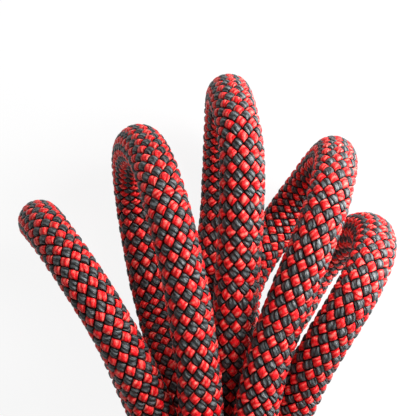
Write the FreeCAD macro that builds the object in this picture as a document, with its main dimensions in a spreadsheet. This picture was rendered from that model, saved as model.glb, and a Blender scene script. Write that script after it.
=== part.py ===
import FreeCAD, Part
import math
import os
import Sketcher
from FreeCAD import Placement, Rotation, Vector

# Dynamic climbing rope, a cut length put up as a small hank that lies on the ground.
# Millimetres, +Z up. The hank's length runs along Y: five long bights fan out towards +Y,
# four short ones and the two ends towards -Y, and the rope's own last turns bind the waist.
# The origin is on the ground, under the middle of the hank.

SIZES = [
    ("rope_diameter", 10.0),
    ("sheath_wall", 1.25),
    ("core_clearance", 0.1),
    ("ground_flat", 1.0),
    ("strand_gap", 0.7),
    ("wrap_gap", 0.8),
    ("wrap_side_gap", 0.56),
    ("waist_length", 48.0),
    ("sleeve_length", 12.0),
    ("sleeve_wall", 0.6),
    ("sleeve_clearance", 0.15),
    ("sleeve_overlap", 0.8),
    ("tip_length", 2.0),
    ("tip_chamfer", 0.9),
    ("waist_x", 0.43),
    ("waist_y", 7.435),
]

SHEATH_SIDES = 8
CORE_SIDES = 6
FACET_TURN = 12.0
WRAP_TURNS = 3.75
CORNERS_PER_TURN = 8
RING_STRANDS = 8
LOOP_SHARE = 0.5
END_SHARE = 0.45
SAMPLE_STEP = 2.0
LEAST_GAP = 0.4
SAME_PLACE = 1e-6

doc = FreeCAD.newDocument("ClimbingRope")


def make_sheet():
    sheet = doc.addObject("Spreadsheet::Sheet", "Sizes")
    for row, (alias, value) in enumerate(SIZES, start=1):
        sheet.set(f"A{row}", alias)
        sheet.set(f"B{row}", str(value))
        sheet.setAlias(f"B{row}", alias)
    doc.recompute()
    return sheet


sheet = make_sheet()


def size(alias):
    return float(sheet.get(alias))


ROPE_RADIUS = size("rope_diameter") / 2
GROUND = ROPE_RADIUS - size("ground_flat")
STRAND_STEP = size("rope_diameter") + size("strand_gap")
RING_RADIUS = STRAND_STEP / (2 * math.sin(math.pi / RING_STRANDS))
WRAP_RADIUS = RING_RADIUS + size("rope_diameter") + size("wrap_gap")
WRAP_PITCH = size("rope_diameter") + size("wrap_side_gap")
AXIS_HEIGHT = GROUND + WRAP_RADIUS
WAIST_END = -size("waist_length")
SLEEVE_BORE = ROPE_RADIUS + size("sleeve_clearance")
SLEEVE_RADIUS = SLEEVE_BORE + size("sleeve_wall")

# Angles in the waist's ring, seen from the tail, of the strand that leads into each finger
# and of the strand that comes back from it. The middle finger leads in through the centre.
FRONT_ANGLE = {1: 157.5, 2: 112.5, 4: 67.5, 5: 22.5}
BACK_ANGLE = {1: 202.5, 2: 247.5, 3: 292.5, 4: 337.5}


def slot(angle):
    turn = math.radians(angle)
    return RING_RADIUS * math.cos(turn), AXIS_HEIGHT + RING_RADIUS * math.sin(turn)


def front_slot(finger):
    if finger in FRONT_ANGLE:
        return slot(FRONT_ANGLE[finger])
    return 0.0, AXIS_HEIGHT


# The five fingers, from the waist out along the upper leg, round the bight and back along
# the lower leg, which lies on the ground until it climbs into the waist.
FINGERS = {
    1: [(-16, 12.5, 41), (-23, 28, 48),
        (-32, 43, 50), (-41.5, 54.5, 37), (-44, 54.5, 18), (-37, 44, GROUND),
        (-26.5, 26, GROUND), (-19, 12.5, 22)],
    2: [(-4.5, 11.5, 45), (-7, 35, 50),
        (-12.5, 59.5, 52), (-17.5, 72, 37), (-21.5, 72.5, 18), (-22, 64, GROUND),
        (-18.5, 42, GROUND), (-15, 28.5, 4.5), (-10.25, 14, 15.2)],
    3: [(1, 10, 32), (2.5, 30.5, 43.5),
        (5, 68.5, 53), (2, 83.5, 38), (1, 84.5, 18), (0.5, 70.5, GROUND),
        (-0.5, 49.5, GROUND), (-6, 34, GROUND), (-0.2, 20, 15.5)],
    4: [(7.5, 12, 45.5), (11, 28, 49),
        (23, 57, 52), (26.5, 69.5, 37), (25.5, 69.5, 18), (18, 58.5, GROUND),
        (6.5, 43, 8.5), (3, 32.5, 18.5), (8, 19, 23.5)],
    5: [(16, 12.5, 38), (21.5, 25, 47),
        (30.5, 40, 51.5), (36, 51, 38), (32, 52, 18), (23.5, 44, GROUND),
        (16, 28.5, GROUND), (3.5, 17, GROUND)],
}

# The four tail bights, each from a lower strand of the waist round to the next upper one.
TAILS = {
    1: [(-15.5, -58, 15), (-19.5, -68, GROUND), (-25, -81, GROUND), (-31, -91, 16),
        (-30, -89, 36), (-23, -77, 47), (-11, -60, 44)],
    2: [(-5, -58, 8), (-7, -71, GROUND), (-9, -85, GROUND), (-11, -98, 15),
        (-11, -97, 33), (-8.5, -85, 42), (-1.5, -66, 36)],
    3: [(6.5, -58, 9), (8, -69, GROUND), (11, -82, GROUND), (13, -94, 16),
        (13, -93, 36), (11, -80, 48), (7, -61, 45)],
    4: [(16.5, -58, 14), (19.5, -67, GROUND), (25, -79, GROUND), (31, -89, 15),
        (31.5, -88, 33), (27, -76, 43), (17.5, -60, 38)],
}

# The two ends, from the cut end inwards. Each rests on its sleeve.
END_A = [(-54.8, -100.5, SLEEVE_RADIUS), (-47, -83, SLEEVE_RADIUS), (-33, -70, 8), (-20, -60, 27.5)]
END_B = [(53.8, -90.5, SLEEVE_RADIUS), (48, -72, SLEEVE_RADIUS), (35, -57, GROUND), (WRAP_RADIUS, -46.5, 18.5)]

# Where the first wrap comes up from the ground, it lies obliquely; the others follow evenly.
FIRST_WRAP = [1.5, -6.0]
SECOND_WRAP = -8.0


def wrap_points():
    corner_radius = WRAP_RADIUS / math.cos(math.pi / CORNERS_PER_TURN)
    points = []
    for number in range(int(WRAP_TURNS * CORNERS_PER_TURN)):
        turn = -math.pi / 2 - (number + 0.5) * 2 * math.pi / CORNERS_PER_TURN
        if number < len(FIRST_WRAP):
            y = FIRST_WRAP[number]
        else:
            y = SECOND_WRAP - (number - len(FIRST_WRAP)) * WRAP_PITCH / CORNERS_PER_TURN
        x = corner_radius * math.cos(turn)
        z = AXIS_HEIGHT + corner_radius * math.sin(turn)
        points.append((x, y, z))
    return points


# The whole route from end A to end B, and for each point whether it belongs to a loop.
def route():
    points = []
    looped = []

    def add(group, is_loop):
        points.extend(group)
        looped.extend([is_loop] * len(group))

    add(END_A, False)
    for finger in FINGERS:
        x, z = front_slot(finger)
        add([(x, WAIST_END, z), (x, 0, z)], True)
        add(FINGERS[finger], True)
        if finger in BACK_ANGLE:
            x, z = slot(BACK_ANGLE[finger])
            add([(x, 0, z), (x, WAIST_END, z)], True)
            add(TAILS[finger], True)
    add(wrap_points(), True)
    add(END_B[::-1], False)
    shift = Vector(size("waist_x"), size("waist_y"), 0)
    return [Vector(*point) + shift for point in points], looped


# Straight runs joined by tangent arcs. Each arc takes a share of the shorter run beside it.
def rounded_path(points, looped):
    edges = []
    radii = []
    place = points[0]
    for before, corner, after, is_loop in zip(points, points[1:], points[2:], looped[1:]):
        run_in = corner - before
        run_out = after - corner
        share = LOOP_SHARE if is_loop else END_SHARE
        reach = share * min(run_in.Length, run_out.Length)
        half_turn = run_in.getAngle(run_out) / 2
        start = corner - run_in.normalize() * reach
        end = corner + run_out.normalize() * reach
        add_line(edges, place, start)
        radius = reach / math.tan(half_turn)
        inward = (start + end) * 0.5 - corner
        depth = radius / math.cos(half_turn) - radius
        middle = corner + inward.normalize() * depth
        edges.append(Part.Arc(start, middle, end).toShape())
        radii.append(radius)
        place = end
    add_line(edges, place, points[-1])
    return Part.Wire(edges), radii


def add_line(edges, start, end):
    if (end - start).Length > SAME_PLACE:
        edges.append(Part.LineSegment(start, end).toShape())


# The path as straight facets. Each arc becomes equal small turns whose facets touch it.
def facet_places(path):
    places = [path.OrderedVertexes[0].Point]
    for edge in path.OrderedEdges:
        if isinstance(edge.Curve, Part.Circle):
            places.extend(turns_on_arc(edge))
    places.append(path.OrderedVertexes[-1].Point)
    return places


def turns_on_arc(edge):
    turn = edge.Length / edge.Curve.Radius
    count = math.ceil(math.degrees(turn) / FACET_TURN)
    centre = edge.Curve.Center
    outwards = 1 / math.cos(turn / count / 2)
    halves = edge.discretize(Number=2 * count + 1)
    return [centre + (middle - centre) * outwards for middle in halves[1::2]]


# The least distance between two stretches of the rope, less its diameter.
def least_gap(places):
    facets = Part.makePolygon(places)
    samples = facets.discretize(Number=math.ceil(facets.Length / SAMPLE_STEP))
    apart = math.ceil(3 * size("rope_diameter") / SAMPLE_STEP)
    closest = min(
        (first - second).Length
        for index, first in enumerate(samples)
        for second in samples[index + apart:]
    )
    return closest - size("rope_diameter")


# A regular polygon across the start of the path, with one side facing the ground.
def section(place, direction, radius, sides):
    across = direction.cross(Vector(0, 0, 1)).normalize()
    up = across.cross(direction).normalize()
    corners = []
    for number in range(sides):
        turn = -math.pi / 2 + (number + 0.5) * 2 * math.pi / sides
        corners.append(place + across * (radius * math.cos(turn)) + up * (radius * math.sin(turn)))
    return corners


def polygon_area(radius, sides):
    return sides * radius * radius * math.sin(2 * math.pi / sides) / 2


# The section carried along the facets. Two of them meet on the plane that halves their turn.
def tube_rings(places, radius, sides):
    directions = [(after - before).normalize() for before, after in zip(places, places[1:])]
    rings = [section(places[0], directions[0], radius, sides)]
    for place, direction, following in zip(places[1:], directions, directions[1:] + directions[-1:]):
        normal = direction + following
        pace = direction.dot(normal)
        rings.append([corner + direction * ((place - corner).dot(normal) / pace) for corner in rings[-1]])
    return rings


def wall_facets(rings):
    facets = []
    for near, far in zip(rings, rings[1:]):
        for first in range(len(near)):
            second = (first + 1) % len(near)
            facets.append(flat_face([near[first], near[second], far[second], far[first]]))
    return facets


def flat_face(corners):
    return Part.Face(Part.makePolygon(corners + corners[:1]))


def solid_of(faces):
    shell = Part.makeShell(faces)
    shell.sewShape()
    solid = Part.Solid(shell)
    if solid.Volume < 0:
        solid.reverse()
    return solid


# What lies under a shape from the ground down, a little wider than the shape.
def ground_block(shape):
    bounds = shape.BoundBox
    bounds.enlarge(ROPE_RADIUS)
    corner = Vector(bounds.XMin, bounds.YMin, bounds.ZMin)
    return Part.makeBox(bounds.XLength, bounds.YLength, -bounds.ZMin, corner)


# The braided sheath: a tube with its bore, flat where it lies on the ground.
def make_sheath(places, length):
    bore_radius = ROPE_RADIUS - size("sheath_wall")
    outer = tube_rings(places, ROPE_RADIUS, SHEATH_SIDES)
    bore = tube_rings(places, bore_radius, CORE_SIDES)
    ends = [flat_face(outer[number]).cut(flat_face(bore[number])).Faces[0] for number in (0, -1)]
    tube = solid_of(wall_facets(outer) + wall_facets(bore) + ends)
    wall_area = polygon_area(ROPE_RADIUS, SHEATH_SIDES) - polygon_area(bore_radius, CORE_SIDES)
    print("sheath volume over section times length", round(tube.Volume / (wall_area * length), 4))
    return add_feature("sheath", tube.cut(ground_block(tube)))


# The core, a bundle of parallel twisted strands, stands here as the one body that it fills.
def make_core(places, length):
    radius = ROPE_RADIUS - size("sheath_wall") - size("core_clearance")
    rings = tube_rings(places, radius, CORE_SIDES)
    solid = solid_of(wall_facets(rings) + [flat_face(rings[0]), flat_face(rings[-1])])
    volume = polygon_area(radius, CORE_SIDES) * length
    print("core volume over section times length", round(solid.Volume / volume, 4))
    return add_feature("core", solid)


def add_feature(name, shape):
    feature = doc.addObject("Part::Feature", name)
    feature.Label = name
    feature.Shape = shape
    feature.Placement = Placement()
    return feature


# A body turned about its own Z axis from a closed outline of radius and height expressions.
def turned_body(name, outline):
    body = doc.addObject("PartDesign::Body", name)
    body.Label = name
    sketch = body.newObject("Sketcher::SketchObject", name + "_outline")
    plane = [item for item in body.Origin.OriginFeatures if item.Role == "XZ_Plane"][0]
    sketch.AttachmentSupport = [(plane, "")]
    sketch.MapMode = "FlatFace"
    draw_outline(sketch, outline)
    turned = body.newObject("PartDesign::Revolution", name + "_turned")
    turned.Profile = sketch
    turned.ReferenceAxis = (sketch, ["V_Axis"])
    turned.Angle = 360
    doc.recompute()
    return body


def draw_outline(sketch, outline):
    corners = [Vector(evaluate(radius), evaluate(height), 0) for radius, height in outline]
    count = len(corners)
    for number in range(count):
        line = Part.LineSegment(corners[number], corners[(number + 1) % count])
        sketch.addGeometry(line, False)
    for number in range(count):
        sketch.addConstraint(Sketcher.Constraint("Coincident", number, 2, (number + 1) % count, 1))
    for number, (radius, height) in enumerate(outline):
        bind_corner(sketch, number, "DistanceX", radius)
        bind_corner(sketch, number, "DistanceY", height)


def bind_corner(sketch, line, kind, expression):
    value = evaluate(expression)
    index = sketch.addConstraint(Sketcher.Constraint(kind, -1, 1, line, 1, value))
    sketch.setExpression(f"Constraints[{index}]", expression)


def evaluate(expression):
    return float(sheet.evalExpression(expression.replace("Sizes.", "")))


ROPE_R = "Sizes.rope_diameter / 2"
BORE_R = ROPE_R + " + Sizes.sleeve_clearance"
SLEEVE_R = BORE_R + " + Sizes.sleeve_wall"


# A plain shrink sleeve round the end of the rope. Its height zero is the sheath's cut end.
def make_sleeve(name, place):
    low = "Sizes.sleeve_overlap - Sizes.sleeve_length"
    high = "Sizes.sleeve_overlap"
    outline = [(BORE_R, low), (SLEEVE_R, low), (SLEEVE_R, high), (BORE_R, high)]
    body = turned_body(name, outline)
    body.Placement = place
    return body


# The melted tip that closes the cut end, with a blunted rim.
def make_tip(name, place):
    outline = [("0", "0"), (ROPE_R, "0"), (ROPE_R, "Sizes.tip_length"), ("0", "Sizes.tip_length")]
    body = turned_body(name, outline)
    turned = body.Tip
    rim = rim_edge(turned.Shape, size("tip_length"))
    blunting = body.newObject("PartDesign::Chamfer", name + "_rim")
    blunting.Base = (turned, [rim])
    blunting.setExpression("Size", "Sizes.tip_chamfer")
    doc.recompute()
    body.Placement = place
    return body


def rim_edge(shape, height):
    for number, edge in enumerate(shape.Edges, start=1):
        if isinstance(edge.Curve, Part.Circle) and abs(edge.Curve.Center.z - height) < SAME_PLACE:
            return f"Edge{number}"
    raise RuntimeError("no rim on the melted tip")


def end_placement(point, inner_point):
    outward = (point - inner_point).normalize()
    return Placement(point, Rotation(Vector(0, 0, 1), outward))


def check_and_write(subparts):
    doc.recompute()
    for item in doc.Objects:
        if any(word in item.State for word in ("Invalid", "Error")):
            raise RuntimeError(f"{item.Label}: {item.State}")
    os.makedirs("parts", exist_ok=True)
    for item in subparts:
        shape = item.Shape
        if shape.isNull() or not shape.isValid():
            raise RuntimeError(f"{item.Label}: shape is not valid")
        shape.exportStep(f"parts/{item.Label}.step")
        print(item.Label, "solids", len(shape.Solids), "volume", round(shape.Volume, 1))


def main():
    points, looped = route()
    path, radii = rounded_path(points, looped)
    places = facet_places(path)
    print("rope length", round(path.Length, 1), "arcs", len(radii), "facets along", len(places) - 1)
    print("radii", sorted(round(radius, 1) for radius in radii))
    gap = least_gap(places)
    print("least gap to itself", round(gap, 2), "of at least", LEAST_GAP)
    place_a = end_placement(points[0], points[1])
    place_b = end_placement(points[-1], points[-2])
    subparts = [
        make_sheath(places, path.Length),
        make_core(places, path.Length),
        make_sleeve("end_sleeve_a", place_a),
        make_sleeve("end_sleeve_b", place_b),
        make_tip("fused_tip_a", place_a),
        make_tip("fused_tip_b", place_b),
    ]
    check_and_write(subparts)


main()
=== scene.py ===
import math

import bpy
import numpy as np
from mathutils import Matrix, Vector


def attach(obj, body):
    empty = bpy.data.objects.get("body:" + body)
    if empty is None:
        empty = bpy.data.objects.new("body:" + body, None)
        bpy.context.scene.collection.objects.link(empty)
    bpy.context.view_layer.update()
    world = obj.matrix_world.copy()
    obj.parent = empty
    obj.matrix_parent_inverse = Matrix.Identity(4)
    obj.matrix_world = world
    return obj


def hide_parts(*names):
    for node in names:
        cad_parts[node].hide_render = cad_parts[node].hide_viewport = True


# A dynamic climbing rope put up as a small hank, seen from straight above its five long bights.
# Metres, +Z up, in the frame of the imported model.

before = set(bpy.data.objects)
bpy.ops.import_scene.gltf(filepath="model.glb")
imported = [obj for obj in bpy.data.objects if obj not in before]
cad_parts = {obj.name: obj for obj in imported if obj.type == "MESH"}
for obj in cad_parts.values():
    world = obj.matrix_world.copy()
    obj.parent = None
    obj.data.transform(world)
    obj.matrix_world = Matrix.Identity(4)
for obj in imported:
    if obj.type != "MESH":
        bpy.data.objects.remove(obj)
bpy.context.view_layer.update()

# The rope and its hank, as the solids have them.
ROPE_DIAMETER = 0.010
ROPE_RADIUS = ROPE_DIAMETER / 2
GROUND = ROPE_RADIUS - 0.001
STRAND_STEP = ROPE_DIAMETER + 0.0007
RING_STRANDS = 8
RING_RADIUS = STRAND_STEP / (2 * math.sin(math.pi / RING_STRANDS))
WRAP_RADIUS = RING_RADIUS + ROPE_DIAMETER + 0.0008
WRAP_PITCH = ROPE_DIAMETER + 0.00056
WRAP_TURNS = 3.75
CORNERS_PER_TURN = 8
AXIS_HEIGHT = GROUND + WRAP_RADIUS
WAIST_END = -0.048
SLEEVE_RADIUS = ROPE_RADIUS + 0.00075
WAIST_PLACE = Vector((0.00043, 0.007435, 0))

# Angles in the waist's ring of the strand that leads into each finger and of the one that
# comes back from it. The middle finger leads in through the centre.
FRONT_ANGLE = {1: 157.5, 2: 112.5, 4: 67.5, 5: 22.5}
BACK_ANGLE = {1: 202.5, 2: 247.5, 3: 292.5, 4: 337.5}

FINGERS = {
    1: [(-0.016, 0.0125, 0.041), (-0.023, 0.028, 0.048),
        (-0.032, 0.043, 0.05), (-0.0415, 0.0545, 0.037), (-0.044, 0.0545, 0.018),
        (-0.037, 0.044, GROUND), (-0.0265, 0.026, GROUND), (-0.019, 0.0125, 0.022)],
    2: [(-0.0045, 0.0115, 0.045), (-0.007, 0.035, 0.05),
        (-0.0125, 0.0595, 0.052), (-0.0175, 0.072, 0.037), (-0.0215, 0.0725, 0.018),
        (-0.022, 0.064, GROUND), (-0.0185, 0.042, GROUND), (-0.015, 0.0285, 0.0045),
        (-0.01025, 0.014, 0.0152)],
    3: [(0.001, 0.01, 0.032), (0.0025, 0.0305, 0.0435),
        (0.005, 0.0685, 0.053), (0.002, 0.0835, 0.038), (0.001, 0.0845, 0.018),
        (0.0005, 0.0705, GROUND), (-0.0005, 0.0495, GROUND), (-0.006, 0.034, GROUND),
        (-0.0002, 0.02, 0.0155)],
    4: [(0.0075, 0.012, 0.0455), (0.011, 0.028, 0.049),
        (0.023, 0.057, 0.052), (0.0265, 0.0695, 0.037), (0.0255, 0.0695, 0.018),
        (0.018, 0.0585, GROUND), (0.0065, 0.043, 0.0085), (0.003, 0.0325, 0.0185),
        (0.008, 0.019, 0.0235)],
    5: [(0.016, 0.0125, 0.038), (0.0215, 0.025, 0.047),
        (0.0305, 0.04, 0.0515), (0.036, 0.051, 0.038), (0.032, 0.052, 0.018),
        (0.0235, 0.044, GROUND), (0.016, 0.0285, GROUND), (0.0035, 0.017, GROUND)],
}

TAILS = {
    1: [(-0.0155, -0.058, 0.015), (-0.0195, -0.068, GROUND), (-0.025, -0.081, GROUND),
        (-0.031, -0.091, 0.016), (-0.03, -0.089, 0.036), (-0.023, -0.077, 0.047),
        (-0.011, -0.06, 0.044)],
    2: [(-0.005, -0.058, 0.008), (-0.007, -0.071, GROUND), (-0.009, -0.085, GROUND),
        (-0.011, -0.098, 0.015), (-0.011, -0.097, 0.033), (-0.0085, -0.085, 0.042),
        (-0.0015, -0.066, 0.036)],
    3: [(0.0065, -0.058, 0.009), (0.008, -0.069, GROUND), (0.011, -0.082, GROUND),
        (0.013, -0.094, 0.016), (0.013, -0.093, 0.036), (0.011, -0.08, 0.048),
        (0.007, -0.061, 0.045)],
    4: [(0.0165, -0.058, 0.014), (0.0195, -0.067, GROUND), (0.025, -0.079, GROUND),
        (0.031, -0.089, 0.015), (0.0315, -0.088, 0.033), (0.027, -0.076, 0.043),
        (0.0175, -0.06, 0.038)],
}

END_A = [(-0.0548, -0.1005, SLEEVE_RADIUS), (-0.047, -0.083, SLEEVE_RADIUS),
         (-0.033, -0.07, 0.008), (-0.02, -0.06, 0.0275)]
END_B = [(0.0538, -0.0905, SLEEVE_RADIUS), (0.048, -0.072, SLEEVE_RADIUS),
         (0.035, -0.057, GROUND), (WRAP_RADIUS, -0.0465, 0.0185)]

FIRST_WRAP = [0.0015, -0.006]
SECOND_WRAP = -0.008


def slot(angle):
    turn = math.radians(angle)
    return RING_RADIUS * math.cos(turn), AXIS_HEIGHT + RING_RADIUS * math.sin(turn)


def front_slot(finger):
    if finger in FRONT_ANGLE:
        return slot(FRONT_ANGLE[finger])
    return 0.0, AXIS_HEIGHT


def wrap_points():
    corner_radius = WRAP_RADIUS / math.cos(math.pi / CORNERS_PER_TURN)
    points = []
    for number in range(int(WRAP_TURNS * CORNERS_PER_TURN)):
        turn = -math.pi / 2 - (number + 0.5) * 2 * math.pi / CORNERS_PER_TURN
        if number < len(FIRST_WRAP):
            y = FIRST_WRAP[number]
        else:
            y = SECOND_WRAP - (number - len(FIRST_WRAP)) * WRAP_PITCH / CORNERS_PER_TURN
        x = corner_radius * math.cos(turn)
        z = AXIS_HEIGHT + corner_radius * math.sin(turn)
        points.append((x, y, z))
    return points


def route():
    points = list(END_A)
    for finger in FINGERS:
        x, z = front_slot(finger)
        points += [(x, WAIST_END, z), (x, 0, z)]
        points += FINGERS[finger]
        if finger in BACK_ANGLE:
            x, z = slot(BACK_ANGLE[finger])
            points += [(x, 0, z), (x, WAIST_END, z)]
            points += TAILS[finger]
    points += wrap_points()
    points += END_B[::-1]
    return [Vector(point) + WAIST_PLACE for point in points]


# The camera looks straight down, as the photograph does.
CAMERA_PLACE = WAIST_PLACE + Vector((-0.0033, 0.0576, 0.450))
PHOTO_PIXELS = 416
FOCAL_PIXELS = 1800
SENSOR_WIDTH = 36.0


def make_camera():
    data = bpy.data.cameras.new("camera")
    data.sensor_width = SENSOR_WIDTH
    data.lens = SENSOR_WIDTH * FOCAL_PIXELS / PHOTO_PIXELS
    camera = bpy.data.objects.new("camera", data)
    camera.location = CAMERA_PLACE
    bpy.context.collection.objects.link(camera)
    bpy.context.scene.camera = camera


# The rope's line, read from a smooth spline that follows the route.
SPLINE_STEPS = 24
LINE_STEP = 0.0005
BEND_WINDOW = 41
BRAID_PITCH = 0.0037


def smooth_points(points):
    curve = bpy.data.curves.new("route", "CURVE")
    curve.dimensions = "3D"
    curve.resolution_u = SPLINE_STEPS
    spline = curve.splines.new("NURBS")
    spline.points.add(len(points) - 1)
    for control, point in zip(spline.points, points):
        control.co = (*point, 1)
    spline.order_u = 3
    spline.use_endpoint_u = True
    holder = bpy.data.objects.new("route", curve)
    mesh = bpy.data.meshes.new_from_object(holder)
    places = np.array([vertex.co for vertex in mesh.vertices])
    bpy.data.meshes.remove(mesh)
    bpy.data.objects.remove(holder)
    bpy.data.curves.remove(curve)
    return places


def unit(vectors):
    return vectors / np.linalg.norm(vectors, axis=-1, keepdims=True)


def spread(values, vectors):
    return np.asarray(values)[..., None] * vectors


# A table's columns, read at places between its rows.
def read_between(where, stations, table):
    return np.column_stack([np.interp(where, stations, column) for column in table.T])


# A line with a frame that doesn't twist: places, headings and two directions across it.
class RopeLine:
    def __init__(self, places):
        gaps = np.linalg.norm(np.diff(places, axis=0), axis=1)
        along = np.concatenate([[0.0], np.cumsum(gaps)])
        self.length = along[-1]
        self.stations = np.linspace(0, self.length, round(self.length / LINE_STEP) + 1)
        self.places = read_between(self.stations, along, places)
        self.headings = unit(np.gradient(self.places, axis=0))
        self.across = self.carried_across()
        self.braid = self.braid_count()

    def carried_across(self):
        across = np.empty_like(self.headings)
        first = np.cross(self.headings[0], (0, 0, 1))
        across[0] = first / np.linalg.norm(first)
        for number in range(1, len(across)):
            heading = self.headings[number]
            carried = across[number - 1] - heading * (across[number - 1] @ heading)
            across[number] = carried / np.linalg.norm(carried)
        return across

    # How far the braid has come at each station. On a bend it closes up on the inner side and
    # keeps its pitch on the outer one, so it counts faster there than the rope's middle line.
    def braid_count(self):
        bend = np.linalg.norm(np.gradient(self.headings, LINE_STEP, axis=0), axis=1)
        window = np.hanning(BEND_WINDOW)
        bend = np.convolve(bend, window / window.sum(), mode="same")
        rate = (1 + ROPE_RADIUS * bend) / BRAID_PITCH
        steps = (rate[1:] + rate[:-1]) / 2 * np.diff(self.stations)
        return np.concatenate([[0.0], np.cumsum(steps)])

    def at(self, stations):
        place = read_between(stations, self.stations, self.places)
        heading = unit(read_between(stations, self.stations, self.headings))
        across = read_between(stations, self.stations, self.across)
        across = unit(across - spread((across * heading).sum(1), heading))
        return place, heading, across, np.cross(heading, across)


# What would lie below the ground is squeezed up on to it, as a rope is that rests there. The
# points up to this height give way too, and less the higher they are.
SQUEEZE_HEIGHT = 0.002


def squeeze(rings, centre_heights):
    sunk = np.maximum(0, ROPE_RADIUS - centre_heights)[:, None]
    below = SQUEEZE_HEIGHT - rings[:, :, 2]
    share = np.clip(below / (SQUEEZE_HEIGHT + sunk), 0, None)
    rings[:, :, 2] += sunk * share
    return rings


# The rows that a long tube is cut into in its map for baking, and the shares of a row that are
# left free at its sides and at its two ends.
BAKE_ROWS = 24
BAKE_SIDE_MARGIN = 0.06
BAKE_END_MARGIN = 0.006


# A tube from rings of points. It has a cap at each end or, where it is hollow, runs on from its
# last ring to its first.
def tube_mesh(name, rings, along, round_shares, bake_rows, hollow=False):
    count, sides = rings.shape[:2]
    index = np.arange(count * sides).reshape(count, sides)
    far = np.roll(index, -1, 0)
    near = index
    if not hollow:
        near, far = index[:-1], far[:-1]
    quads = np.stack([near, np.roll(near, -1, 1), np.roll(far, -1, 1), far], axis=-1).reshape(-1, 4)
    corners = quads.ravel()
    starts = np.arange(len(quads)) * 4
    if not hollow:
        corners = np.concatenate([corners, index[0][::-1], index[-1]])
        starts = np.concatenate([starts, [len(quads) * 4, len(quads) * 4 + sides]])
    mesh = bpy.data.meshes.new(name)
    mesh.vertices.add(count * sides)
    mesh.vertices.foreach_set("co", rings.astype(np.float32).ravel())
    mesh.loops.add(len(corners))
    mesh.loops.foreach_set("vertex_index", corners.astype(np.int32))
    mesh.polygons.add(len(starts))
    mesh.polygons.foreach_set("loop_start", starts.astype(np.int32))
    mesh.update(calc_edges=True)
    mesh.polygons.foreach_set("use_smooth", np.ones(len(starts), bool))
    add_maps(mesh, len(near), sides, along, round_shares, bake_rows)
    mesh.validate()
    return mesh


# YarnMap says how far along and round the tube a corner is. OFBake cuts the tube into rows that
# lie side by side, so that no two faces share a place in it.
def add_maps(mesh, bands, sides, along, round_shares, bake_rows):
    band = np.repeat(np.arange(bands), sides)
    low = np.tile(round_shares[:-1], bands)
    high = np.tile(round_shares[1:], bands)
    round_share = np.stack([low, high, high, low], axis=-1)
    lengthwise = np.stack([along[band], along[band], along[band + 1], along[band + 1]], axis=-1)
    row_bands = math.ceil(bands / bake_rows)
    row = (band // row_bands)[:, None]
    row_share = np.stack([band, band, band + 1, band + 1], axis=-1) / row_bands - row
    bake_u = BAKE_END_MARGIN + row_share * (1 - 2 * BAKE_END_MARGIN)
    bake_v = (row + BAKE_SIDE_MARGIN + round_share * (1 - 2 * BAKE_SIDE_MARGIN)) / bake_rows
    set_map(mesh, "YarnMap", lengthwise, round_share)
    set_map(mesh, "OFBake", bake_u, bake_v)


def set_map(mesh, name, u, v):
    layer = mesh.uv_layers.new(name=name)
    pairs = np.stack([u.ravel(), v.ravel()], axis=-1)
    caps = np.tile(pairs[-1], (len(layer.uv) - len(pairs), 1))
    layer.uv.foreach_set("vector", np.concatenate([pairs, caps]).astype(np.float32).ravel())


def even_shares(sides):
    return np.arange(sides + 1) / sides


def even_turns(sides):
    return np.arange(sides) * 2 * math.pi / sides


def directions_round(across, up, turn):
    return across[:, None] * np.cos(turn)[:, None] + up[:, None] * np.sin(turn)[:, None]


def add_piece(name, mesh, material):
    mesh.materials.append(material)
    piece = bpy.data.objects.new(name, mesh)
    bpy.context.collection.objects.link(piece)
    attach(piece, "root")
    return piece


# The braid: ten red yarns wound one way and ten charcoal ones the other, over one, under one.
YARNS = 10
RED_HAND = 1
CHARCOAL_HAND = -1
BRAID_RADIUS = ROPE_RADIUS + 0.0002
WEAVE = 0.0007
YARN_THICKNESS = 0.0013
YARN_HEIGHT = BRAID_RADIUS - WEAVE - YARN_THICKNESS / 2

# A yarn is arched over its crest and dives steeply under the next yarn that crosses it. Its
# width is a share of the room between its neighbours.
STEEPNESS = 4.0
DIVE_WAVE = 0.12
CROWN = 0.75
OVER_SHARE = 0.95
UNDER_SHARE = 0.78

# Where the rings lie in one pitch, in degrees from the top of the yarn's crest, and where the
# points lie in its section. Both are closer together where they show.
RING_PHASES = (-108, -94, -83, -71, -55, -27, 27, 55, 71, 83, 94, 108, 180)
SECTION_TURNS = (-90, 0, 25, 50, 76, 104, 130, 155, 180)
SECTION_POWER = 0.8
YARN_SHARES = np.array([*SECTION_TURNS, 270]) / 360 + 0.25

# No two cells are quite alike: by how much they differ in height, in place across the yarn and
# in width, the last two as shares of the yarn's room. A new draw comes every half pitch.
HEIGHT_SPREAD = 0.00004
SIDE_SPREAD = 0.03
SHARE_SPREAD = 0.02
DRAW_STEP = 0.5


def signed_power(values, power):
    return np.sign(values) * np.abs(values) ** power


def yarn_section():
    turn = np.radians(SECTION_TURNS)
    wide = signed_power(np.cos(turn), SECTION_POWER)
    high = signed_power(np.sin(turn), SECTION_POWER) * YARN_THICKNESS / 2
    return wide[:, None], high[:, None]


def uneven(draw, count, size):
    knots = np.arange(math.floor(count[0]), math.ceil(count[-1]) + 1, DRAW_STEP)
    return np.interp(count, knots, draw.normal(0, size, len(knots)))


# Where in a pitch a yarn has its crest: a charcoal yarn lies low where a red one is high.
def crest_of(hand):
    return 0.0 if hand == RED_HAND else 0.5


def ring_counts(line, hand):
    pitches = np.arange(-1, math.ceil(line.braid[-1]) + 1)
    count = (pitches[:, None] + crest_of(hand) + np.array(RING_PHASES) / 360).ravel()
    last = line.braid[-1]
    return np.concatenate([[0.0], count[(count > 0) & (count < last)], [last]])


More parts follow.
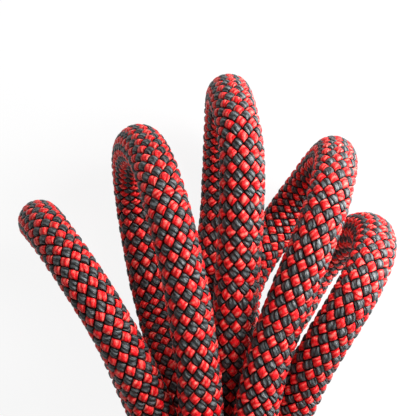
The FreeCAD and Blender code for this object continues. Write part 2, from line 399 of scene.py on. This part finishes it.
# Each ring of a yarn lies along the yarns that cross it, so that a cell is a clean rhombus. Along
# a crossing yarn the neighbours are half a pitch apart, so a yarn has room for a quarter of it on
# each side.
def yarn_rings(line, number, hand):
    draw = np.random.default_rng(number if hand == RED_HAND else number + YARNS)
    count = ring_counts(line, hand)
    turn = 2 * math.pi * (number + hand * count) / YARNS
    place, rope_heading, across, up = line.at(np.interp(count, line.braid, line.stations))
    outward = spread(np.cos(turn), across) + spread(np.sin(turn), up)
    around = np.cross(rope_heading, outward)
    pitch = np.gradient(place + BRAID_RADIUS * outward, count, axis=0)
    crossing = pitch - 2 * spread((pitch * around).sum(1), around)
    wave = hand * np.cos(2 * math.pi * count)
    rise = CROWN * wave + (1 - CROWN) * np.tanh(STEEPNESS * (wave - DIVE_WAVE))
    height = YARN_HEIGHT + WEAVE * rise + uneven(draw, count, HEIGHT_SPREAD)
    room = -hand * crossing / 4
    middle = place + spread(height, outward) + spread(uneven(draw, count, SIDE_SPREAD), room)
    share = UNDER_SHARE + (OVER_SHARE - UNDER_SHARE) * (1 + rise) / 2
    share += uneven(draw, count, SHARE_SPREAD)
    wide, high = yarn_section()
    rings = middle[:, None] + spread(share, room)[:, None] * wide + outward[:, None] * high
    return squeeze(rings, place[:, 2]), count


def make_yarns(line, colour_name, hand, material):
    pieces = []
    for number in range(YARNS):
        rings, along = yarn_rings(line, number, hand)
        name = f"{colour_name}_yarn_{number + 1:02d}"
        mesh = tube_mesh(name, rings, along, YARN_SHARES, BAKE_ROWS)
        pieces.append(add_piece(name, mesh, material))
    return pieces


# The body under the braid, which shows only in the gaps at the corners of the cells. Its near-black
# colour is painted shade for those gaps.
BODY_RADIUS = 0.0037
BODY_SIDES = 16
BODY_STEP = 0.0015


def make_body(line, material):
    stations = np.linspace(0, line.length, round(line.length / BODY_STEP) + 1)
    place, _, across, up = line.at(stations)
    ring = directions_round(across, up, even_turns(BODY_SIDES))
    rings = squeeze(place[:, None] + BODY_RADIUS * ring, place[:, 2])
    mesh = tube_mesh("rope_body", rings, stations, even_shares(BODY_SIDES), BAKE_ROWS)
    return add_piece("rope_body", mesh, material)


# The dressed ends. Places along them are measured from the cut end inwards, so they are negative
# past it, where the rope's line goes on straight.
END_SIDES = 80
SLEEVE_LENGTH = 0.012
SLEEVE_OVERLAP = 0.0008
SLEEVE_BORE = ROPE_RADIUS + 0.0001
SLEEVE_OUTSIDE = SLEEVE_RADIUS - 0.00005
SLEEVE_LIP = 0.0002
SLEEVE_RELIEF = 0.00005
SLEEVE_RINGS = 60

# The melted tip's outline, as places and radii. Its ripples are so many round it, and so strong.
TIP_PROFILE = [
    (0.0004, 0.0045), (0, 0.00485), (-0.0006, 0.00495), (-0.0011, 0.00488), (-0.0015, 0.00455),
    (-0.00178, 0.0039), (-0.00192, 0.0029), (-0.00194, 0.0018), (-0.00188, 0.0007),
]
TIP_RIPPLE = 0.00009
TIP_WAVES = ((3, 0.5), (7, 0.3), (11, 0.2))
TIP_PHASES = {"a": (0.6, 1.2, 0), "b": (2.1, 4.2, 0)}


def end_frame(line, end, reach):
    station = 0.0 if end == "a" else line.length
    inward = 1 if end == "a" else -1
    stations = station + inward * np.maximum(reach, 0)
    place, heading, across, up = line.at(stations)
    return place + inward * spread(np.minimum(reach, 0), heading), across, up


def turned_rings(line, end, reach, radius):
    place, across, up = end_frame(line, end, reach)
    turn = even_turns(END_SIDES)
    if end == "b":
        turn = -turn
    return place[:, None] + radius[..., None] * directions_round(across, up, turn)


# A shrunk sleeve shows the cells of the braid under it faintly. Its rings go inwards along the
# outside, with a blunted lip at each end, and back along the bore.
def make_sleeve(line, end, material):
    inner_end = SLEEVE_LENGTH - SLEEVE_OVERLAP
    outside = np.linspace(-SLEEVE_OVERLAP + SLEEVE_LIP, inner_end - SLEEVE_LIP, SLEEVE_RINGS)
    reach = np.concatenate([[-SLEEVE_OVERLAP], outside, [inner_end, inner_end, -SLEEVE_OVERLAP]])
    radius = np.full(len(reach), SLEEVE_OUTSIDE)
    radius[[0, -3]] -= SLEEVE_LIP
    radius[-2:] = SLEEVE_BORE
    lengthwise = 2 * math.pi * reach[:, None] / BRAID_PITCH
    cells = np.cos(YARNS * even_turns(END_SIDES)) * np.cos(lengthwise)
    relief = np.zeros((len(reach), END_SIDES))
    relief[2:SLEEVE_RINGS] = SLEEVE_RELIEF * cells[2:SLEEVE_RINGS]
    rings = turned_rings(line, end, reach, radius[:, None] + relief)
    along = np.append(reach, reach[0])
    mesh = tube_mesh("end_sleeve_" + end, rings, along, even_shares(END_SIDES), 1, hollow=True)
    return add_piece("sleeve_of_end_" + end, mesh, material)


# The melted tip is a low dome with an uneven rim, sunk a little in the middle.
def make_tip(line, end, material):
    reach, radius = np.array(TIP_PROFILE).T
    turn = even_turns(END_SIDES)
    waves = zip(TIP_WAVES, TIP_PHASES[end])
    ripple = sum(strength * np.sin(count * turn + phase) for (count, strength), phase in waves)
    dent = TIP_RIPPLE * (ripple - 1) / ROPE_RADIUS
    rings = turned_rings(line, end, reach, radius[:, None] * (1 + dent))
    along = np.append(reach, reach[-1])
    mesh = tube_mesh("fused_tip_" + end, rings, along, even_shares(END_SIDES), 1)
    return add_piece("tip_of_end_" + end, mesh, material)


def make_ends(line):
    rubber, melted = sleeve_material(), tip_material()
    pieces = []
    for end in ("a", "b"):
        sleeve = make_sleeve(line, end, rubber)
        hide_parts("end_sleeve_" + end)
        tip = make_tip(line, end, melted)
        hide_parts("fused_tip_" + end)
        pieces += [sleeve, tip]
    return pieces


# The yarns' colours and gloss. Colours go from the hollows between the plies to the tops of the
# lumps:
# the yarn's own uneven tone, with painted shade in the hollows and a painted highlight on the tops.
# The lumps are so many per pitch along a yarn and so many round it, and the last entry is where the
# painted shade of the gaps begins and ends along a yarn, as heights of a wave that is highest on
# the crest.
RED = {
    # Deep, body and pale: partly the yarn's own tone, partly painted shade in the deep colour and a
    # painted salmon highlight in the pale one.
    "colours": ((0.66, 0.001, 0.003), (0.93, 0.003, 0.013), (0.95, 0.20, 0.15)),
    "gloss_colour": (1.0, 0.78, 0.66),
    "gloss": 0.5,
    "relief": 0.00042,
    "lumps": (4.0, 7.0),
    "painted_shade_along": (0.02, 0.40),
}
CHARCOAL = {
    # Deep, body and pale: partly the yarn's own tone, partly painted shade in the deep colour and a
    # painted highlight in the pale one.
    "colours": ((0.001, 0.002, 0.002), (0.033, 0.038, 0.041), (0.15, 0.165, 0.172)),
    "gloss_colour": (1.0, 1.0, 1.0),
    "gloss": 0.55,
    "relief": 0.0006,
    "lumps": (2.5, 13.0),
    "painted_shade_along": (0.15, 0.52),
}
YARN_ROUGHNESS = 0.5
RELIEF_STOPS = (0.42, 0.74, 1.0)
# Where the painted shade of the gaps begins and ends across a yarn, and how dark that painted shade
# is.
PAINTED_SHADE_ACROSS = (0.10, 0.50)
PAINTED_GAP_SHADE = 0.03

# The plies lie side by side in a yarn, so many round it, and wander a little.
PLIES = 6
PLY_WANDER = 1.1
WANDER_RATE = 1.7
PLY_HEIGHT = 0.38
LUMP_HEIGHT = 0.94
LUMP_DETAIL = 2.0


def new_material(name):
    material = bpy.data.materials.new(name)
    material.use_nodes = True
    tree = material.node_tree
    return material, tree, tree.nodes["Principled BSDF"]


def add_math(tree, operation, first, second):
    node = tree.nodes.new("ShaderNodeMath")
    node.operation = operation
    for socket, value in zip(node.inputs, (first, second)):
        if isinstance(value, (int, float)):
            socket.default_value = value
        elif value is not None:
            tree.links.new(value, socket)
    return node.outputs[0]


def add_bump(tree, shader, height, strength, distance):
    bump = tree.nodes.new("ShaderNodeBump")
    bump.inputs["Strength"].default_value = strength
    bump.inputs["Distance"].default_value = distance
    tree.links.new(height, bump.inputs["Height"])
    tree.links.new(bump.outputs["Normal"], shader.inputs["Normal"])


# A ramp from height to colour.
def add_ramp(tree, height, stops, colours):
    ramp = tree.nodes.new("ShaderNodeValToRGB")
    elements = ramp.color_ramp.elements
    while len(elements) < len(stops):
        elements.new(stops[1])
    for element, stop, colour in zip(elements, stops, colours):
        element.position = stop
        element.color = (*colour, 1)
    tree.links.new(height, ramp.inputs["Fac"])
    return ramp.outputs["Color"]


def yarn_places(tree):
    chart = tree.nodes.new("ShaderNodeUVMap")
    chart.uv_map = "YarnMap"
    split = tree.nodes.new("ShaderNodeSeparateXYZ")
    tree.links.new(chart.outputs["UV"], split.inputs["Vector"])
    return split.outputs["X"], split.outputs["Y"]


def noise_over(tree, along, round_yarn, detail):
    join = tree.nodes.new("ShaderNodeCombineXYZ")
    tree.links.new(along, join.inputs["X"])
    tree.links.new(round_yarn, join.inputs["Y"])
    noise = tree.nodes.new("ShaderNodeTexNoise")
    noise.inputs["Scale"].default_value = 1.0
    noise.inputs["Detail"].default_value = detail
    tree.links.new(join.outputs["Vector"], noise.inputs["Vector"])
    return noise.outputs["Fac"]


# Height of the plies that lie side by side in a yarn, and of the lumps in them.
def yarn_relief(tree, along, round_yarn, lumps):
    slow = noise_over(tree, add_math(tree, "MULTIPLY", along, WANDER_RATE), round_yarn, 0.0)
    wander = add_math(tree, "MULTIPLY", slow, 2 * PLY_WANDER * math.pi)
    turned = add_math(tree, "ADD", add_math(tree, "MULTIPLY", round_yarn, PLIES * math.pi), wander)
    ridges = add_math(tree, "ABSOLUTE", add_math(tree, "SINE", turned, None), None)
    lumps_along = add_math(tree, "MULTIPLY", along, lumps[0])
    lumps_round = add_math(tree, "MULTIPLY", round_yarn, lumps[1])
    bumps = noise_over(tree, lumps_along, lumps_round, LUMP_DETAIL)
    ridges = add_math(tree, "MULTIPLY", ridges, PLY_HEIGHT)
    return add_math(tree, "ADD", ridges, add_math(tree, "MULTIPLY", bumps, LUMP_HEIGHT))


# How far a place on the yarn is in the open, for the painted shade of the gaps: a wave that is
# highest at one place, as a share between two of its heights.
def painted_shade_share(tree, place, highest, heights):
    turned = add_math(tree, "MULTIPLY", place, 2 * math.pi)
    shifted = add_math(tree, "ADD", turned, math.pi / 2 - 2 * math.pi * highest)
    share = tree.nodes.new("ShaderNodeMapRange")
    share.interpolation_type = "SMOOTHSTEP"
    share.inputs["From Min"].default_value, share.inputs["From Max"].default_value = heights
    share.inputs["To Min"].default_value = PAINTED_GAP_SHADE
    tree.links.new(add_math(tree, "SINE", shifted, None), share.inputs["Value"])
    return share.outputs["Result"]


# Painted shade: one on the open top of a cell and nearly nothing in the gaps, where the colour is
# darkened to stand in for their shade. The top of the yarn is half way round it, because the map
# starts underneath.
def painted_cell_shade(tree, along, round_yarn, crest, painted_shade_along):
    lengthwise = painted_shade_share(tree, along, crest, painted_shade_along)
    across = painted_shade_share(tree, round_yarn, 0.5, PAINTED_SHADE_ACROSS)
    return add_math(tree, "MULTIPLY", lengthwise, across)


def yarn_material(name, finish, hand):
    material, tree, shader = new_material(name)
    along, round_yarn = yarn_places(tree)
    relief = yarn_relief(tree, along, round_yarn, finish["lumps"])
    # The ramp gives the yarn's own uneven tone, with painted shade in the ply hollows and a painted
    # highlight on the lump tops.
    colour_with_painted_shade = tree.nodes.new("ShaderNodeVectorMath")
    colour_with_painted_shade.operation = "SCALE"
    tree.links.new(add_ramp(tree, relief, RELIEF_STOPS, finish["colours"]), colour_with_painted_shade.inputs["Vector"])
    # Painted shade: the colour is darkened in the gaps between the cells.
    painted_shade = painted_cell_shade(tree, along, round_yarn, crest_of(hand), finish["painted_shade_along"])
    tree.links.new(painted_shade, colour_with_painted_shade.inputs["Scale"])
    tree.links.new(colour_with_painted_shade.outputs["Vector"], shader.inputs["Base Color"])
    add_bump(tree, shader, relief, 1.0, finish["relief"])
    shader.inputs["Roughness"].default_value = YARN_ROUGHNESS
    shader.inputs["Specular IOR Level"].default_value = finish["gloss"]
    shader.inputs["Specular Tint"].default_value = (*finish["gloss_colour"], 1)
    return material


def plain_finish(shader, colour, roughness):
    shader.inputs["Base Color"].default_value = (*colour, 1)
    shader.inputs["Roughness"].default_value = roughness


def painted_shade_body_material():
    material, _, shader = new_material("rope_body")
    # Near black: painted shade for the gaps where the body shows.
    plain_finish(shader, (0.004, 0.003, 0.003), 0.9)
    return material


# Fine noise in the piece's own coordinates, as a bump and for its colour.
GRAIN_DETAIL = 4.0
GRAIN_STRENGTH = 0.5


def add_grain(tree, shader, scale, distance):
    grain = tree.nodes.new("ShaderNodeTexNoise")
    grain.inputs["Scale"].default_value = scale
    grain.inputs["Detail"].default_value = GRAIN_DETAIL
    places = tree.nodes.new("ShaderNodeTexCoord")
    tree.links.new(places.outputs["Object"], grain.inputs["Vector"])
    add_bump(tree, shader, grain.outputs["Fac"], GRAIN_STRENGTH, distance)
    return grain.outputs["Fac"]


SLEEVE_GRAIN = (1500.0, 0.00004)
TIP_GRAIN = (600.0, 0.0002)
TIP_STOPS = (0.42, 0.62)
TIP_COLOURS = ((0.006, 0.004, 0.004), (0.12, 0.004, 0.006))


def sleeve_material():
    material, tree, shader = new_material("shrink_sleeve")
    add_grain(tree, shader, *SLEEVE_GRAIN)
    plain_finish(shader, (0.012, 0.012, 0.013), 0.42)
    return material


def tip_material():
    material, tree, shader = new_material("fused_nylon")
    grain = add_grain(tree, shader, *TIP_GRAIN)
    tree.links.new(add_ramp(tree, grain, TIP_STOPS, TIP_COLOURS), shader.inputs["Base Color"])
    shader.inputs["Roughness"].default_value = 0.22
    return material


# The studio. The floor shows white to the camera and keeps a faint shadow of the rope. Two lamps
# stand to the upper right of the hank, and a plain white world lights the rest.
FLOOR_COLOUR = (0.80, 0.80, 0.80)
FLOOR_SIZE = 6.0
WHITE_SHARE = 0.90
WORLD_LIGHT = 0.30
LAMP_TARGET = Vector((0, 0.05, 0.03))
KEY_LAMP = {"place": Vector((0.20, 0.18, 0.24)), "width": 0.18, "power": 1.4}
SIDE_LAMP = {"place": Vector((0.20, 0.14, 0.075)), "width": 0.12, "power": 0.95}


def make_floor():
    mesh = bpy.data.meshes.new("floor")
    half = FLOOR_SIZE / 2
    corners = [(-half, -half, 0), (half, -half, 0), (half, half, 0), (-half, half, 0)]
    mesh.from_pydata(corners, [], [(0, 1, 2, 3)])
    mesh.materials.append(floor_material())
    floor = bpy.data.objects.new("floor", mesh)
    bpy.context.collection.objects.link(floor)


def floor_material():
    material, tree, shader = new_material("floor")
    plain_finish(shader, FLOOR_COLOUR, 0.9)
    white = tree.nodes.new("ShaderNodeEmission")
    rays = tree.nodes.new("ShaderNodeLightPath").outputs
    mirrored = add_math(tree, "MAXIMUM", rays["Is Glossy Ray"], rays["Is Transmission Ray"])
    seen = add_math(tree, "MAXIMUM", rays["Is Camera Ray"], mirrored)
    mix = tree.nodes.new("ShaderNodeMixShader")
    tree.links.new(add_math(tree, "MULTIPLY", seen, WHITE_SHARE), mix.inputs["Fac"])
    tree.links.new(shader.outputs["BSDF"], mix.inputs[1])
    tree.links.new(white.outputs["Emission"], mix.inputs[2])
    tree.links.new(mix.outputs["Shader"], tree.nodes["Material Output"].inputs["Surface"])
    return material


def make_lamp(name, place, width, power):
    data = bpy.data.lights.new(name, "AREA")
    data.shape = "SQUARE"
    data.size = width
    data.energy = power
    lamp = bpy.data.objects.new(name, data)
    lamp.location = place
    lamp.rotation_euler = (LAMP_TARGET - place).to_track_quat("-Z", "Y").to_euler()
    bpy.context.collection.objects.link(lamp)


def light_scene():
    world = bpy.data.worlds.new("studio")
    world.use_nodes = True
    background = world.node_tree.nodes["Background"]
    background.inputs["Color"].default_value = (1, 1, 1, 1)
    background.inputs["Strength"].default_value = WORLD_LIGHT
    bpy.context.scene.world = world
    make_lamp("key", **KEY_LAMP)
    make_lamp("side", **SIDE_LAMP)
    bpy.context.scene.view_settings.view_transform = "Standard"


def main():
    make_camera()
    line = RopeLine(smooth_points(route()))
    red = yarn_material("red_yarn", RED, RED_HAND)
    charcoal = yarn_material("charcoal_yarn", CHARCOAL, CHARCOAL_HAND)
    yarns = make_yarns(line, "red", RED_HAND, red)
    yarns += make_yarns(line, "charcoal", CHARCOAL_HAND, charcoal)
    body = make_body(line, painted_shade_body_material())
    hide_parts("core", "sheath")
    ends = make_ends(line)
    make_floor()
    light_scene()


main()
